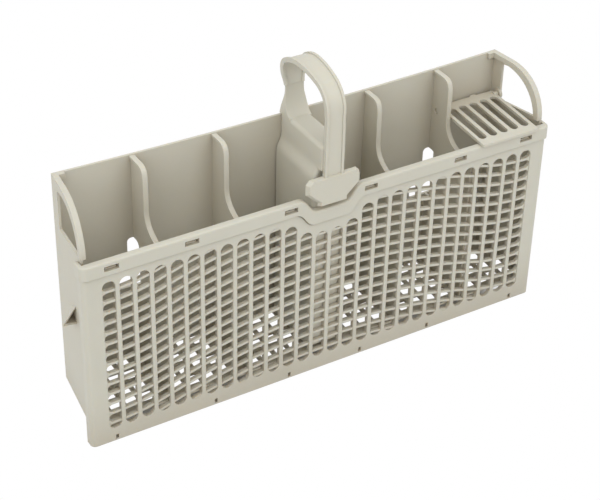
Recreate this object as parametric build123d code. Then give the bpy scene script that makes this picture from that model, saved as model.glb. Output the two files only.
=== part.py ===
"""Long dishwasher cutlery basket: tub, clip-on grille panel, carry handle and a hinged lid."""
import os
from math import asin, cos, degrees, pi, sin, sqrt

from build123d import *

os.makedirs("parts", exist_ok=True)

# Whole basket, millimetres: X along the basket, Y from the grille to the back wall, Z up
panel_half = 250.0
rail_top = 201.7
back_face = 80.0
tub_top = 250.7
floor_front = 19.0
floor_back = 23.6
end_draw = 8.5
top_bow = 6.0
foot_bow = 0.6
wall = 2.5
gap = 0.3

# Grille panel: upright slots in the face, arched bars a step behind it
panel_thick = 4.5
bar_step = 0.6
edge_round = 5.0
flange_depth = 11.0
flange_thick = 2.3
side_border = 16.2
columns = 28
rib_width = 4.1
slot_foot = 15.0
slot_head = 180.0
slot_facets = 16
bar_rows = 18
bar_pitch = 11.35
bar_height = 2.6
bar_level = 147.2
arch_radius = 2.28 * panel_half
arch_turn = 0.688 * panel_half
rail_height = 13.7
rail_proud = 2.0
rail_round = 1.8
rail_overhang = 1.5
rail_return = 2.0
notch_dip = 15.2
notch_half = 13.0
notch_slope = 21.0
notch_spread = 4.0
groove_width = 1.4
clip_width = 14.0
clip_height = 5.0
clip_play = 1.8
clip_level = 195.0
clip_places = (0.172 * panel_half, 0.578 * panel_half, 0.89 * panel_half)
peg_width = 3.0
peg_height = 5.0
peg_level = 4.0
peg_places = (0.162 * panel_half, 0.484 * panel_half, 0.898 * panel_half)
column_pitch = 2 * (panel_half - side_border) / columns
slot_width = column_pitch - rib_width

# Tub: sits inside the panel's flanges and behind its back face
tub_half = panel_half - flange_thick - 0.2
tub_front = panel_thick + gap
divider_inner = 0.33 * panel_half
divider_outer = 0.656 * panel_half
divider_thick = 2.2
divider_face = 48.0
divider_low = 181.0
rim_half = 2.5
rim_depth = 2.6
loop_face = 7.5
loop_round = 46.0
loop_rise = 45.0
loop_rim = 5.5
loop_width = 5.5
loop_band = 7.5
loop_foot = 201.5
loop_back = 65.0
hang_wide = 42.0
hang_neck = 15.0
hang_foot = 107.0
hang_step = 127.0
hang_head = 162.0
hang_relief = 64.0
floor_rows = (20.0, 37.0, 54.0, 70.0)
floor_pitch = 16.0
floor_hole = 12.0
scoop_front = 31.0
scoop_length = 14.0
scoop_out = 15.0
scoop_foot = 121.0
scoop_head = 142.0
scoop_wall = 1.8

# Lid over the right-hand compartment
lid_front = -5.0
lid_back = 72.0
lid_thick = 3.0
lid_rise = 4.1
lid_play = 2.0
lid_slots = 5
lid_slot_width = 8.4
lid_slot_pitch = 12.6
lid_slot_length = 58.0
hinge_y = 67.0
hinge_z = rail_top + gap + lid_thick / 2 + lid_rise
boss_radius = 5.3
boss_reach = 1.5
pin_radius = 2.7
pin_play = 0.08
pin_reach = 1.0

# Carry handle
strap_front = -4.5
strap_thick = 4.6
strap_dish = 1.1
strap_border = 2.6
strap_half = 10.0
strap_rear_half = 12.3
crown = 318.0
block_half = 11.7
body_half = 16.6
block_top = 253.0
block_round = 4.0
body_round = 3.0
shoulder_top = 232.0
shoulder_foot = 213.0
block_front = tub_front + 0.4
block_back = back_face - top_bow - wall - gap
plate_front = -6.0
plate_back = -1.0
plate_half = 28.5
plate_foot = 207.5
plate_head = 222.5
plate_corner = 4.0
plate_bevel = 2.2
tongue_half = 15.0
tongue_head = 195.5
tongue_foot = 191.5

middle_depth = (plate_front + back_face) / 2


def along_y(outline, near, far):
    """Outline drawn as seen from the front, pushed from one depth to another."""
    return extrude(Plane.XZ.offset(-near) * outline, amount=near - far)


def along_x(outline, near, far):
    """Outline drawn as seen from the side, pushed along the basket."""
    return extrude(Plane.YZ.offset(near) * outline, amount=far - near)


def block(x_low, x_high, y_low, y_high, z_low, z_high):
    """Plain block between two corners."""
    size = Box(x_high - x_low, y_high - y_low, z_high - z_low, align=Align.MIN)
    return Pos(x_low, y_low, z_low) * size


def both_sides(edges):
    """Edges drawn on the right-hand side, with their mirror images on the left."""
    return edges + [edge.mirror(Plane.YZ) for edge in edges]


def round_slot(length, width, facets):
    """Upright slot with round ends, drawn with a stated number of facets to the full round."""
    end = RegularPolygon(width / 2 / cos(pi / facets), facets, rotation=180 / facets)
    reach = (length - width) / 2
    return Rectangle(width, length - width) + Pos(0, reach) * end + Pos(0, -reach) * end


def end_wall_x(depth):
    """Outside of the right-hand end wall at a depth: the tub narrows towards its back."""
    return tub_half - end_draw * (depth - tub_front) / (back_face - tub_front)


def floor_level(depth):
    """Underside of the floor at a depth."""
    return floor_front + (floor_back - floor_front) * (depth - tub_front) / (back_face - tub_front)


def slot_top(column):
    """Upper end of a grille slot: lower under the notch in the rail."""
    from_middle = abs(column - (columns - 1) / 2)
    if from_middle < 1:
        return slot_head - 19.0
    if from_middle < 2:
        return slot_head - 15.5
    if from_middle < 3:
        return slot_head - 3.5
    return slot_head


def notch_line(level, spread, half):
    """Level line along the rail that dips through the notch in the middle."""
    foot = notch_half + spread
    head = foot + notch_slope
    half_way = (foot + head) / 2
    low = level - notch_dip
    return [
        Line((-foot, low), (foot, low)),
        *both_sides([
            Bezier((foot, low), (half_way, low), (half_way, level), (head, level)),
            Line((head, level), (half, level)),
        ]),
    ]


def band(level_low, spread_low, level_high, spread_high, half):
    """Face between two lines that run the whole length of the rail."""
    ends = both_sides([Line((half, level_low), (half, level_high))])
    return make_face(notch_line(level_low, spread_low, half) + notch_line(level_high, spread_high, half) + ends)


# Arched line of the grille bars: one wide arc that turns level again at both ends
window_half = panel_half - side_border - rib_width / 2
gap_half = (bar_pitch - bar_height) / 2
arch_end = window_half - gap_half
arch_angle = asin(arch_turn / arch_radius)
arch_fall = arch_radius * (1 - cos(arch_angle))
turn_radius = (arch_end - arch_turn) / sin(arch_angle)
turn_fall = turn_radius * (1 - cos(arch_angle))


def arch_drop(place):
    """How far an arched bar has fallen from its crown at a place along the panel."""
    if abs(place) < arch_turn:
        return arch_radius - sqrt(arch_radius ** 2 - place ** 2)
    from_end = max(arch_end - abs(place), 0)
    return arch_fall + turn_fall - turn_radius + sqrt(turn_radius ** 2 - from_end ** 2)


def arched_gap(level):
    """Round-ended opening between two arched bars, straight from rib to rib."""
    ribs = [(column - columns / 2) * column_pitch for column in range(1, columns)]
    breaks = [-arch_end, *ribs, arch_end]
    upper = [(place, level + gap_half - arch_drop(place)) for place in breaks]
    lower = [(place, level - gap_half - arch_drop(place)) for place in reversed(breaks)]
    opening = make_face(Polyline(*upper, *lower, close=True))
    for side in (-1, 1):
        end = Pos(side * arch_end, level - arch_drop(arch_end))
        opening += end * RegularPolygon(gap_half / cos(pi / 12), 12, rotation=15)
    return opening


# Grille panel: plate with side flanges, proud rail with a notch, then the two crossing sets of openings
rail_level = rail_top - rail_height
rail_half = panel_half + rail_overhang
plate_edge = both_sides([Line((0, 0), (panel_half, 0)), Line((panel_half, 0), (panel_half, rail_level + 1))])
plate = along_y(make_face(notch_line(rail_level + 1, notch_spread, panel_half) + plate_edge), 0, panel_thick)
rail = along_y(band(rail_level, notch_spread, rail_top, 0, rail_half), -rail_proud, panel_thick)
for side in (-1, 1):
    flange_x = sorted((side * panel_half, side * (panel_half - flange_thick)))
    return_x = sorted((side * rail_half, side * (panel_half - flange_thick)))
    plate += block(*flange_x, 0, flange_depth, 0, rail_level + 1)
    rail += block(*return_x, -rail_proud, flange_depth + rail_return, rail_level, rail_top)
plate = fillet(plate.edges().filter_by(Axis.Z).group_by(Axis.Y)[0], edge_round)
rail = fillet(rail.edges().filter_by(Axis.Z).group_by(Axis.Y)[0], edge_round + rail_overhang)
rail = fillet(rail.faces().sort_by(Axis.Y)[0].edges().sort_by(Axis.Z)[-1], rail_round)
groove_band = band(rail_level - groove_width, notch_spread, rail_level, notch_spread, panel_half)
panel = plate - along_y(groove_band, -rail_proud, 1.0) + rail
for side in (-1, 1):
    open_end = sorted((side * (rail_half - 0.8), side * (panel_half - flange_thick + 0.8)))
    panel -= block(*open_end, flange_depth - 6, flange_depth + rail_return + 1, rail_level + 2.5, rail_top - 2.5)

slots = Sketch()
for column in range(columns):
    slot_x = (column - (columns - 1) / 2) * column_pitch
    slot_length = slot_top(column) - slot_foot
    slots += Pos(slot_x, slot_foot + slot_length / 2) * round_slot(slot_length, slot_width, slot_facets)
gaps = Sketch()
for row in range(bar_rows):
    gaps += arched_gap(bar_level + (row - 11.5) * bar_pitch)
snaps = Sketch()
for side in (-1, 1):
    for place in clip_places:
        snaps += Pos(side * place, clip_level) * Rectangle(clip_width, clip_height)
    for place in peg_places:
        snaps += Pos(side * place, peg_level) * Rectangle(peg_width, peg_height)
panel -= along_y(slots, -1, bar_step)
panel -= along_y(gaps & slots, 0, panel_thick + 1)
panel -= along_y(snaps, -9, 9)

# Tub: side outline crossed with a plan that narrows to the back, hollowed from the open front
shelf = rail_top - 3
loop_curve = [
    Line((loop_face, shelf), (loop_face, tub_top - loop_rise)),
    Bezier((loop_face, tub_top - loop_rise), (loop_face, tub_top - loop_rise * 0.46),
           (loop_face + loop_round * 0.37, tub_top), (loop_face + loop_round, tub_top)),
    Line((loop_face + loop_round, tub_top), (back_face, tub_top)),
]
side_outline = make_face([
    *loop_curve,
    Line((back_face, tub_top), (back_face, floor_back)),
    Line((back_face, floor_back), (tub_front, floor_front)),
    Line((tub_front, floor_front), (tub_front, shelf)),
    Line((tub_front, shelf), (loop_face, shelf)),
])


def plan(inset, bow):
    """Plan of the tub, drawn in by a wall thickness; the back wall bows inwards at the middle."""
    near = tub_front - 20 * (inset > 0)
    rear = back_face - inset
    near_half = end_wall_x(near) - inset
    rear_half = end_wall_x(rear) - inset
    return make_face([
        Line((-near_half, near), (near_half, near)),
        Line((near_half, near), (rear_half, rear)),
        ThreePointArc((rear_half, rear), (0, rear - bow), (-rear_half, rear)),
        Line((-rear_half, rear), (-near_half, near)),
    ])


def tub_space(inset):
    """Upright space inside the plan; the bow grows from the floor to the top edge."""
    return loft([plan(inset, foot_bow), Pos(0, 0, tub_top + 1) * plan(inset, top_bow)])


outside = along_x(side_outline, -panel_half, panel_half) & tub_space(0)
hollow_outline = make_face(Polyline(
    (-20, floor_level(-20) + wall), (back_face, floor_level(back_face) + wall), (back_face, tub_top + 1),
    (-20, tub_top + 1),
    close=True,
))
hollow = along_x(hollow_outline, -panel_half, panel_half) & tub_space(wall)
tub = outside - hollow

# Front bar that ties the dividers together behind the rail, left open under the notch
bar_start = notch_half + notch_slope + 2
clip_foot = clip_level - clip_height / 2 + gap
tongue_thick = 1.6
for side in (-1, 1):
    bar_x = sorted((side * bar_start, side * (tub_half - 1)))
    tub += block(*bar_x, tub_front, tub_front + wall, divider_low - 3, clip_foot + tongue_thick)

# Dividers: thin webs with a thicker rim along the free edge
divider_front = tub_front + 0.2
divider_top = tub_top - 0.7
divider_outline = make_face([
    Line((divider_front, floor_front + 1), (back_face - 1, floor_back + 1)),
    Line((back_face - 1, floor_back + 1), (back_face - 1, divider_top)),
    Line((back_face - 1, divider_top), (divider_face + 11, divider_top)),
    Bezier((divider_face + 11, divider_top), (divider_face + 3, divider_top), (divider_face, divider_top - 4),
           (divider_face, divider_top - 15)),
    Line((divider_face, divider_top - 15), (divider_face, divider_low + 24)),
    Bezier((divider_face, divider_low + 24), (divider_face, divider_low + 9), (divider_face - 14, divider_low),
           (divider_face - 30, divider_low)),
    Line((divider_face - 30, divider_low), (divider_front, divider_low)),
    Line((divider_front, divider_low), (divider_front, floor_front + 1)),
])
rim_outline = divider_outline - Pos(rim_depth, -rim_depth) * divider_outline
rim_outline &= Pos(divider_face, tub_top) * Rectangle(2 * back_face, 2 * (tub_top - divider_low + rim_depth))
dividers = []
for place in (-divider_outer, -divider_inner, divider_inner, divider_outer):
    dividers.append(along_x(divider_outline, place - divider_thick / 2, place + divider_thick / 2) & outside)
    dividers.append(along_x(rim_outline, place - rim_half, place + rim_half) & outside)
tub += dividers

# Keyhole slots in the back wall, with the divider behind each one cut clear for the stud
for side in (-1, 1):
    wide = Pos(side * divider_outer, (hang_foot + hang_step) / 2)
    wide *= RectangleRounded(hang_wide, hang_step - hang_foot, 4)
    neck = Pos(side * divider_outer, (hang_foot + hang_head) / 2)
    neck *= RectangleRounded(hang_neck, hang_head - hang_foot, 4)
    tub -= along_y(wide + neck, back_face - top_bow - wall - 1, back_face + 1)
    relief = Pos((hang_relief + back_face + 12) / 2, (hang_foot + hang_head) / 2)
    relief *= RectangleRounded(back_face + 12 - hang_relief, hang_head - hang_foot, 6)
    clear = along_x(relief, side * divider_outer - divider_thick, side * divider_outer + divider_thick)
    tub -= clear - (outside - hollow)

# Hand loops in the end walls, with a thick rim over the fingers
window_face = loop_face + loop_width + 1
window_head = tub_top - loop_band
loop_window = make_face([
    Line((window_face, loop_foot + 4), (loop_back, loop_foot)),
    Line((loop_back, loop_foot), (loop_back, window_head - 1.5)),
    Line((loop_back, window_head - 1.5), (loop_face + loop_round, window_head)),
    Bezier((loop_face + loop_round, window_head), (loop_face + loop_round * 0.49, window_head),
           (window_face, window_head - 16), (window_face, loop_foot + 4)),
])
loop_shape = make_face([
    *loop_curve,
    Line((back_face, tub_top), (back_face, shelf)),
    Line((back_face, shelf), (loop_face, shelf)),
])
loop_edge = loop_shape - Pos(loop_width, -loop_width) * loop_shape
loop_edge &= Pos(loop_face, tub_top) * Rectangle(2 * back_face, 2 * (tub_top - shelf - loop_width))
for side in (-1, 1):
    end_x = sorted((side * panel_half, side * (end_wall_x(back_face) - 2 * loop_rim)))
    tub -= along_x(loop_window, *end_x)
    tub += along_x(loop_edge, *end_x) & (tub_space(0) - tub_space(loop_rim))

# Rows of drain holes in the floor, clear of the dividers and the end walls
drains = []
drain_numbers = int(panel_half / floor_pitch)
for row in floor_rows:
    for number in range(-drain_numbers, drain_numbers):
        hole_x = (number + 0.5) * floor_pitch
        near_divider = min(abs(abs(hole_x) - divider_inner), abs(abs(hole_x) - divider_outer))
        if near_divider > floor_hole / 2 + 2 and abs(hole_x) < end_wall_x(row) - wall - floor_hole / 2 - 2:
            drains.append(Pos(hole_x, row, floor_level(row)) * Box(floor_hole, floor_hole + 1, 12))
tub -= drains

# Clips: tongues in the rail's windows and pegs on tabs below the floor
tongue_x = clip_width / 2 - clip_play
tongue_top = clip_foot + tongue_thick
peg_x = peg_width / 2 - gap
peg_foot = peg_level - peg_height / 2 + gap
hooks = []
for side in (-1, 1):
    for place in clip_places:
        middle = side * place
        hooks.append(block(middle - tongue_x, middle + tongue_x, 1, tub_front + 1, clip_foot, tongue_top))
    for place in peg_places:
        middle = side * place
        hooks.append(block(middle - 6, middle + 6, tub_front, tub_front + wall, 0.8, floor_front + 1))
        hooks.append(block(middle - peg_x, middle + peg_x, 3, tub_front + 1, peg_foot, peg_foot + peg_height - 2 * gap))
tub += hooks


def scoop(depth, reach, rise, inset, side):
    """Three-cornered cross-section of a scoop at a depth."""
    root = end_wall_x(depth) - wall / 2
    corners = ((root, scoop_foot + inset), (root, scoop_foot + rise - inset),
               (root + reach - inset * 1.6, scoop_foot + inset + 2))
    return Plane.XZ.offset(-depth) * make_face(Polyline(*[(side * x, z) for x, z in corners], close=True))


# Scoops on the end walls that catch the rack
scoop_rise = scoop_head - scoop_foot
scoop_back = scoop_front + scoop_length
for side in (-1, 1):
    shell = loft([scoop(scoop_front, scoop_out, scoop_rise, 0, side),
                  scoop(scoop_back, scoop_out * 0.27, scoop_rise - 6, 0, side)])
    pocket = loft([scoop(scoop_front - 0.5, scoop_out, scoop_rise, scoop_wall, side),
                   scoop(scoop_back - 3, scoop_out * 0.4, scoop_rise - 5, scoop_wall, side)])
    tub += shell - pocket

# Hinge bearings for the lid: a hole in the divider and a bored boss on the end wall
hinge_wall = end_wall_x(hinge_y)
hinge_line = Pos(hinge_wall - wall, hinge_y, hinge_z) * Rot(0, 90, 0)
tub += hinge_line * Cylinder(boss_radius, 2 * boss_reach)
bore = Pos((divider_outer + hinge_wall) / 2, hinge_y, hinge_z) * Rot(0, 90, 0)
tub -= bore * Cylinder(pin_radius + pin_play, hinge_wall - divider_outer + 20)

# Lid: slotted leaf with a rear nub and two hinge pins, drawn level about its hinge and tipped on to the rail
lid_left = divider_outer + rim_half + lid_play
lid_right = hinge_wall - wall - boss_reach - lid_play
lid_middle = (lid_left + lid_right) / 2
lid_depth = lid_back - lid_front
leaf_y = lid_back - lid_depth / 2 - hinge_y
leaf = Pos(lid_middle, leaf_y) * RectangleRounded(lid_right - lid_left, lid_depth, 2.5)
for number in range(lid_slots):
    slot_x = lid_middle + (number - (lid_slots - 1) / 2) * lid_slot_pitch
    leaf -= Pos(slot_x, leaf_y) * round_slot(lid_slot_length, lid_slot_width, 12)
leaf += Pos(lid_middle + 9, lid_back - hinge_y) * RectangleRounded(7, 4, 1.5)
lid = Pos(0, 0, -lid_thick / 2) * extrude(leaf, amount=lid_thick)
left_pin_end = divider_outer + divider_thick / 2 - pin_reach
right_pin_end = hinge_wall + gap
for pin_start, pin_end in ((left_pin_end, lid_left + 3), (lid_right - 3, right_pin_end)):
    lid += Pos((pin_start + pin_end) / 2, 0, 0) * Rot(0, 90, 0) * Cylinder(pin_radius, pin_end - pin_start)
lid_tilt = degrees(asin(lid_rise / (hinge_y + rail_proud)))
lid = Pos(0, hinge_y, hinge_z) * Rot(lid_tilt, 0, 0) * lid

# Carry handle: hollow block in the middle of the tub
body_foot = floor_level(block_back) + wall + gap


def block_outline(inset, foot):
    """Front view of the block, drawn in by a wall thickness: broad body, flowing shoulders, rounded top."""
    low = body_half - inset
    high = block_half - inset
    head = block_top - inset
    middle = (shoulder_foot + shoulder_top) / 2
    corner = block_round - inset / 2
    return make_face(both_sides([
        Line((0, foot), (low, foot)),
        Line((low, foot), (low, shoulder_foot)),
        Bezier((low, shoulder_foot), (low, middle), (high, middle), (high, shoulder_top)),
        Line((high, shoulder_top), (high, head - corner)),
        Bezier((high, head - corner), (high, head - corner / 3), (high - corner / 1.5, head), (high - corner, head)),
        Line((high - corner, head), (0, head)),
    ]))


body = along_y(block_outline(0, body_foot), block_front, block_back)
front_uprights = body.edges().filter_by(Axis.Z).group_by(Axis.Y)[0].group_by(Axis.Z)[0]
body = fillet(front_uprights, body_round)
upper = block_outline(0, body_foot) & Pos(0, crown) * Rectangle(4 * body_half, 2 * (crown - shoulder_top + 4))
body += along_y(upper, strap_front + strap_thick - 1, block_front + body_round + 1)
body -= along_y(block_outline(wall, body_foot - 1), block_front + wall, block_back - wall)

# Strap: band with raised borders over the block, up the front, over the crown and down to a heel above the back wall
strap_foot = plate_head - 8
arch_start = crown - 32
waist_y = back_face - 9
waist_z = crown - 37
leg = Line((strap_front, strap_foot), (strap_front, arch_start))
front_arch = TangentArc((strap_front, arch_start), (strap_front + 18.5, crown - 5.5), tangent=(0, 1))
over = TangentArc(front_arch @ 1, (middle_depth + 6, crown), tangent=front_arch % 1)
rear_fall = TangentArc(over @ 1, (middle_depth + 30, crown - 6), tangent=over % 1)
rear_corner = TangentArc(rear_fall @ 1, (back_face - 5.7, crown - 19), tangent=rear_fall % 1)
rear_leg = TangentArc(rear_corner @ 1, (waist_y, waist_z), tangent=rear_corner % 1)
strap_line = Plane.YZ * Wire([leg, front_arch, over, rear_fall, rear_corner, rear_leg])
side_reach = strap_rear_half + 1


def strap_band(inset):
    """Band swept along the strap's line, thinner by an inset on both of its faces."""
    section = Pos(0, strap_front + strap_thick / 2, strap_foot) * Rectangle(2 * side_reach, strap_thick - 2 * inset)
    return sweep(section, path=strap_line)


def strap_limits(border):
    """Space between the strap's long edges in plan and in front view, drawn in by a border."""
    front = strap_half - border
    rear = strap_rear_half - border
    waist = strap_half - 0.4 - border
    foot = block_half - border
    in_plan = make_face(both_sides([
        Line((0, plate_front - 1), (front, plate_front - 1)),
        Line((front, plate_front - 1), (front, 8)),
        Line((front, 8), (rear, 62)),
        Line((rear, 62), (rear, back_face + 10)),
        Line((rear, back_face + 10), (0, back_face + 10)),
    ]))
    in_view = make_face(both_sides([
        Line((0, strap_foot - 5), (foot, strap_foot - 5)),
        Line((foot, strap_foot - 5), (foot, block_top + 4)),
        Bezier((foot, block_top + 4), (foot, block_top + 14), (waist, block_top + 16), (waist, block_top + 25)),
        Bezier((waist, block_top + 25), (waist, block_top + 36), (rear, block_top + 36), (rear, block_top + 48)),
        Line((rear, block_top + 48), (rear, crown + 5)),
        Line((rear, crown + 5), (0, crown + 5)),
    ]))
    return extrude(in_plan, amount=crown + 20) & along_y(in_view, plate_front - 2, back_face + 10)


heel_front = block_back - 15
heel_back = back_face - 5
heel_level = tub_top + 0.5
heel_inside = waist_y - strap_thick + 1.4
heel = make_face([
    Line((heel_front, block_top - 6), (heel_front, block_top - 0.5)),
    Bezier((heel_front, block_top - 0.5), (heel_front + 7, block_top + 2), (heel_inside, block_top + 12),
           (heel_inside, waist_z + 1)),
    Line((heel_inside, waist_z + 1), (waist_y - 1.5, waist_z + 1)),
    Bezier((waist_y - 1.5, waist_z + 1), (waist_y - 3, waist_z - 11), (waist_y + 2, waist_z - 21),
           (heel_back, heel_level)),
    Line((heel_back, heel_level), (block_back - 0.5, heel_level)),
    Line((block_back - 0.5, heel_level), (block_back - 0.5, block_top - 6)),
    Line((block_back - 0.5, block_top - 6), (heel_front, block_top - 6)),
])
strap = strap_band(0) - ((strap_band(0) - strap_band(strap_dish)) & strap_limits(strap_border))
strap += along_x(heel, -side_reach, side_reach)
strap &= strap_limits(0)


def plate_outline(bevel, depth):
    """Tee-shaped outline of the plate in the notch, drawn in by its bevel, at a depth."""
    half = plate_half - bevel
    tongue = tongue_half - bevel * 0.75
    head = plate_head - bevel * 0.3
    foot = [(tongue, tongue_foot + bevel), (tongue, tongue_head + bevel)]
    wing = [(half, plate_foot + bevel * 0.9), (half, head - plate_corner), (half - plate_corner, head)]
    left = [(-x, z) for x, z in reversed(foot + wing)]
    return Plane.XZ.offset(-depth) * make_face(Polyline(*foot, *wing, *left, close=True))


plate_body = loft([plate_outline(0, plate_back), plate_outline(plate_bevel, plate_front)], ruled=True)
handle = body + strap + plate_body

named_parts = {"basket_tub": tub, "grille_panel": panel, "carry_handle": handle, "small_items_lid": lid}
for name, shape in named_parts.items():
    export_step(Pos(0, -middle_depth, 0) * shape, f"parts/{name}.step")
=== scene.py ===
"""Long dishwasher cutlery basket in warm light grey moulded plastic, standing on a white floor."""

import bmesh
import bpy
from mathutils import Matrix, Vector

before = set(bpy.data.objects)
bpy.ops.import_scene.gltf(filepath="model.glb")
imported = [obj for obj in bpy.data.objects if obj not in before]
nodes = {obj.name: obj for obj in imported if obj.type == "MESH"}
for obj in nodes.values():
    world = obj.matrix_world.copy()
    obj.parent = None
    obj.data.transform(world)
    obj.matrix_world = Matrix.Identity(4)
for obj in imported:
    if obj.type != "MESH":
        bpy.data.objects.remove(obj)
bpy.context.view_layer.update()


# Tub: one polypropylene moulding with back wall, end walls, dividers and a drained floor. Its
# faces carry the spark grain of the mould, a little coarser than the panel's. Its thin walls let
# some light through, and its recesses carry a warm, darker painted shade.
class Wire:
    """A shader socket that can be used in plain arithmetic."""

    def __init__(self, tree, socket=None):
        self.tree = tree
        self.socket = socket

    def node(self, kind, settings=None, **inputs):
        """Adds a node, sets it up, feeds its sockets and hands back the node."""
        made = self.tree.nodes.new(kind)
        for name, value in (settings or {}).items():
            setattr(made, name, value)
        for name, value in inputs.items():
            key = int(name[3:]) if name.startswith("at_") else name.replace("_", " ")
            if isinstance(value, Wire):
                self.tree.links.new(value.socket, made.inputs[key])
            else:
                made.inputs[key].default_value = value
        return made

    def out(self, made, name):
        """One output of a node, ready for arithmetic."""
        return Wire(self.tree, made.outputs[name])

    def math(self, operation, first, second):
        """One Math node on two numbers or sockets."""
        made = self.node("ShaderNodeMath", {"operation": operation}, at_0=first, at_1=second)
        return self.out(made, 0)

    def __add__(self, other):
        return self.math("ADD", self, other)

    def __radd__(self, other):
        return self.math("ADD", other, self)

    def __sub__(self, other):
        return self.math("SUBTRACT", self, other)

    def __rsub__(self, other):
        return self.math("SUBTRACT", other, self)

    def __mul__(self, other):
        return self.math("MULTIPLY", self, other)

    def __rmul__(self, other):
        return self.math("MULTIPLY", other, self)


plastic_ior = 1.49
plastic_shine = 0.42
wall_glow = 0.3
wall_glow_colour = (1.0, 0.72, 0.42)
wall_glow_depth = 0.0015
cloud_scale = 16.0
haze_scale = 90.0
# Painted shade: the warm dark colour that is mixed into recesses, and how far the occlusion looks
# for them.
painted_shade_colour = (0.45, 0.395, 0.305, 1)
painted_shade_reach = 0.06
edge_softness = 0.0007
relief_strength = 0.25
colour_mix = {"data_type": "RGBA"}


def moulded_plastic(name, colour, deep, rough, grain_scale, grain_height, painted_shade_share=1.0):
    """Polypropylene: cloudy colour, spark grain in gloss and relief, painted shade in the
    recesses.
    """
    material = bpy.data.materials.new(name)
    material.use_nodes = True
    tree = material.node_tree
    shader = tree.nodes["Principled BSDF"]
    shader.inputs["IOR"].default_value = plastic_ior
    shader.inputs["Specular IOR Level"].default_value = plastic_shine
    shader.inputs["Subsurface Weight"].default_value = wall_glow
    shader.inputs["Subsurface Radius"].default_value = wall_glow_colour
    shader.inputs["Subsurface Scale"].default_value = wall_glow_depth
    start = Wire(tree)
    place = start.out(start.node("ShaderNodeTexCoord"), "Object")

    def noise(scale, detail):
        """Fine or broad unevenness of the moulding, from 0 to 1."""
        made = start.node("ShaderNodeTexNoise", Vector=place, Scale=scale, Detail=detail)
        return start.out(made, "Fac")

    cloud = noise(cloud_scale, 3.0)
    haze = noise(haze_scale, 4.0)
    grain = noise(grain_scale, 2.0)
    cloudy = 0.30 + 0.45 * cloud + 0.25 * haze
    clean = start.node("ShaderNodeMix", colour_mix, Factor=cloudy, at_6=deep, at_7=colour)
    # Painted shade: where ambient occlusion finds a recess, the base colour is mixed towards a
    # warm dark colour, and the same mask makes the surface rougher.
    recess = start.node("ShaderNodeAmbientOcclusion", {"samples": 8}, Distance=painted_shade_reach)
    painted_shade = painted_shade_share * (1.0 - start.out(recess, "AO"))
    shaded_colour = start.node("ShaderNodeMix", colour_mix, Factor=painted_shade,
                        at_6=start.out(clean, 2), at_7=painted_shade_colour)
    tree.links.new(shaded_colour.outputs[2], shader.inputs["Base Color"])
    gloss = rough - 0.08 + 0.10 * grain + 0.06 * cloud + 0.10 * painted_shade
    tree.links.new(gloss.socket, shader.inputs["Roughness"])
    soft_edge = start.node("ShaderNodeBevel", {"samples": 4}, Radius=edge_softness)
    relief = start.node("ShaderNodeBump", Strength=relief_strength, Distance=grain_height,
                        Height=grain, Normal=start.out(soft_edge, "Normal"))
    tree.links.new(relief.outputs["Normal"], shader.inputs["Normal"])
    return material


tub_colour = (0.625, 0.603, 0.512, 1)
tub_deep = (0.555, 0.532, 0.448, 1)
tub_rough = 0.52
tub_grain = 1800.0
tub_grain_height = 0.00010
tub_plastic = moulded_plastic("tub polypropylene", tub_colour, tub_deep,
                              tub_rough, tub_grain, tub_grain_height)
nodes["basket_tub"].material_slots[0].material = tub_plastic


# Grille panel: one flat polypropylene moulding, clipped to the front of the tub by six tongues
# and six pegs. Upright slots in its satin face lie over arched bars a step behind it.
panel_colour = (0.630, 0.613, 0.525, 1)
panel_deep = (0.565, 0.548, 0.465, 1)
panel_rough = 0.46
fine_grain = 2200.0
fine_grain_height = 0.00007
panel_plastic = moulded_plastic("panel polypropylene", panel_colour, panel_deep,
                                panel_rough, fine_grain, fine_grain_height)
nodes["grille_panel"].material_slots[0].material = panel_plastic


# Carry handle: one polypropylene moulding. A hollow block stands in the middle of the tub, with
# a strap with raised borders over it and the bevelled tee plate that sits in the notch of the
# rail. Hands keep it a little smoother, and it gets less painted recess shade than the tub.
handle_colour = (0.632, 0.610, 0.518, 1)
handle_deep = (0.568, 0.547, 0.461, 1)
handle_rough = 0.44
# The handle gets only a fifth of the painted recess shade.
handle_painted_shade = 0.2
handle_plastic = moulded_plastic("handle polypropylene", handle_colour, handle_deep,
                                 handle_rough, fine_grain, fine_grain_height, handle_painted_shade)
nodes["carry_handle"].material_slots[0].material = handle_plastic


# Lid: slotted polypropylene leaf that keeps small things in the right-hand compartment. It turns
# on two moulded pins, one in the outer divider and one in a boss on the end wall.
lid_colour = (0.640, 0.618, 0.527, 1)
lid_deep = (0.575, 0.553, 0.468, 1)
lid_rough = 0.46
lid_plastic = moulded_plastic("lid polypropylene", lid_colour, lid_deep,
                              lid_rough, fine_grain, fine_grain_height)
nodes["small_items_lid"].material_slots[0].material = lid_plastic


# Floor: a sheet of white paper. It shows as plain white round the basket and keeps the soft
# shadow where the basket stands on the foot of its panel.
floor_half = 6.0
floor_level = -0.0006
shadow_x = (0.200, 0.240)
shadow_y = (0.006, 0.018)
shadow_middle_y = -0.016
paper_colour = (0.74, 0.74, 0.74, 1)
paper_rough = 0.9
paper_shine = 0.1
white = (1, 1, 1, 1)
shape = bmesh.new()
bmesh.ops.create_grid(shape, x_segments=1, y_segments=1, size=floor_half)
bmesh.ops.translate(shape, vec=(0, 0, floor_level), verts=shape.verts)
floor_mesh = bpy.data.meshes.new("white_floor")
shape.to_mesh(floor_mesh)
shape.free()
floor = bpy.data.objects.new("white_floor", floor_mesh)
bpy.context.scene.collection.objects.link(floor)

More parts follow.
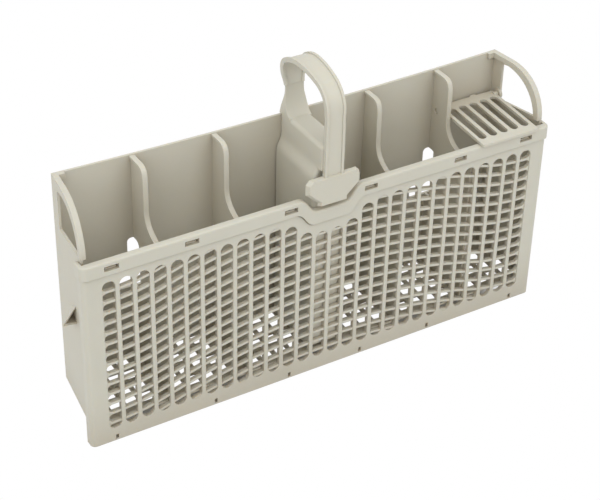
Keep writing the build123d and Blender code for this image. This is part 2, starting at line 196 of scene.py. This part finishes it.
white_paper = bpy.data.materials.new("white paper")
white_paper.use_nodes = True
tree = white_paper.node_tree
paper = tree.nodes["Principled BSDF"]
paper.inputs["Base Color"].default_value = paper_colour
paper.inputs["Roughness"].default_value = paper_rough
paper.inputs["Specular IOR Level"].default_value = paper_shine
start = Wire(tree)
rays = start.node("ShaderNodeLightPath")
seen = (start.out(rays, "Is Camera Ray") + start.out(rays, "Is Glossy Ray")
        + start.out(rays, "Is Transmission Ray"))
place = start.out(start.node("ShaderNodeTexCoord"), "Object")
spot = start.node("ShaderNodeSeparateXYZ", Vector=place)
along = start.math("ABSOLUTE", start.out(spot, "X"), 0.0)
across = start.math("ABSOLUTE", start.out(spot, "Y") - shadow_middle_y, 0.0)
ease = {"interpolation_type": "SMOOTHSTEP"}
clear_x = start.node("ShaderNodeMapRange", ease, Value=along,
                     From_Min=shadow_x[0], From_Max=shadow_x[1])
clear_y = start.node("ShaderNodeMapRange", ease, Value=across,
                     From_Min=shadow_y[0], From_Max=shadow_y[1])
clear = start.math("MAXIMUM", start.out(clear_x, "Result"), start.out(clear_y, "Result"))
glow = start.node("ShaderNodeEmission", Color=white, Strength=1.0)
mixed = start.node("ShaderNodeMixShader", Fac=start.math("MINIMUM", seen, 1.0) * clear,
                   at_1=start.out(paper, "BSDF"), at_2=start.out(glow, "Emission"))
tree.links.new(mixed.outputs["Shader"], tree.nodes["Material Output"].inputs["Surface"])
floor_mesh.materials.append(white_paper)


# Light: a pale room all round and three broad soft boxes: high in front, high at the left and
# overhead, so that the upper edges are the brightest and the inside falls off softly.
room_strength = 0.82
light_aim = Vector((0, 0, 0.12))
world = bpy.data.worlds.new("white room")
bpy.context.scene.world = world
world.use_nodes = True
tree = world.node_tree
start = Wire(tree)
rays = start.node("ShaderNodeLightPath")
room = start.node("ShaderNodeBackground", Color=white, Strength=room_strength)
backdrop = start.node("ShaderNodeBackground", Color=white, Strength=1.0)
mixed = start.node("ShaderNodeMixShader", Fac=start.out(rays, "Is Camera Ray"),
                   at_1=start.out(room, "Background"), at_2=start.out(backdrop, "Background"))
tree.links.new(mixed.outputs["Shader"], tree.nodes["World Output"].inputs["Surface"])


def soft_box(name, place, size, power):
    """Square soft box that looks at the middle of the basket."""
    lamp = bpy.data.lights.new(name, "AREA")
    lamp.shape = "SQUARE"
    lamp.size = size
    lamp.energy = power
    box = bpy.data.objects.new(name, lamp)
    box.location = place
    box.rotation_mode = "QUATERNION"
    box.rotation_quaternion = (light_aim - Vector(place)).to_track_quat("-Z", "Y")
    bpy.context.scene.collection.objects.link(box)


soft_box("high front box", place=(0.35, -1.3, 1.5), size=1.2, power=7)
soft_box("high left box", place=(-1.5, -0.6, 1.4), size=1.2, power=7)
soft_box("overhead box", place=(0.0, 0.1, 2.1), size=1.4, power=4)


# Camera: long lens from the front left, well above the basket. Its place and its three axes are
# those that were worked out for the photograph.
camera_place = Vector((-0.699725, -1.116507, 1.026361))
right = Vector((0.85779331, -0.51356337, 0.02105471))
up = Vector((0.27749876, 0.4972022, 0.82206108))
back = Vector((-0.43264891, -0.69931584, 0.56900992))
lens = bpy.data.cameras.new("camera")
lens.sensor_width = 36.0
lens.lens = 100.22
camera = bpy.data.objects.new("camera", lens)
turn = Matrix((right, up, back)).transposed().to_4x4()
camera.matrix_world = Matrix.Translation(camera_place) @ turn
bpy.context.scene.collection.objects.link(camera)
bpy.context.scene.camera = camera
bpy.context.scene.view_settings.view_transform = "Standard"
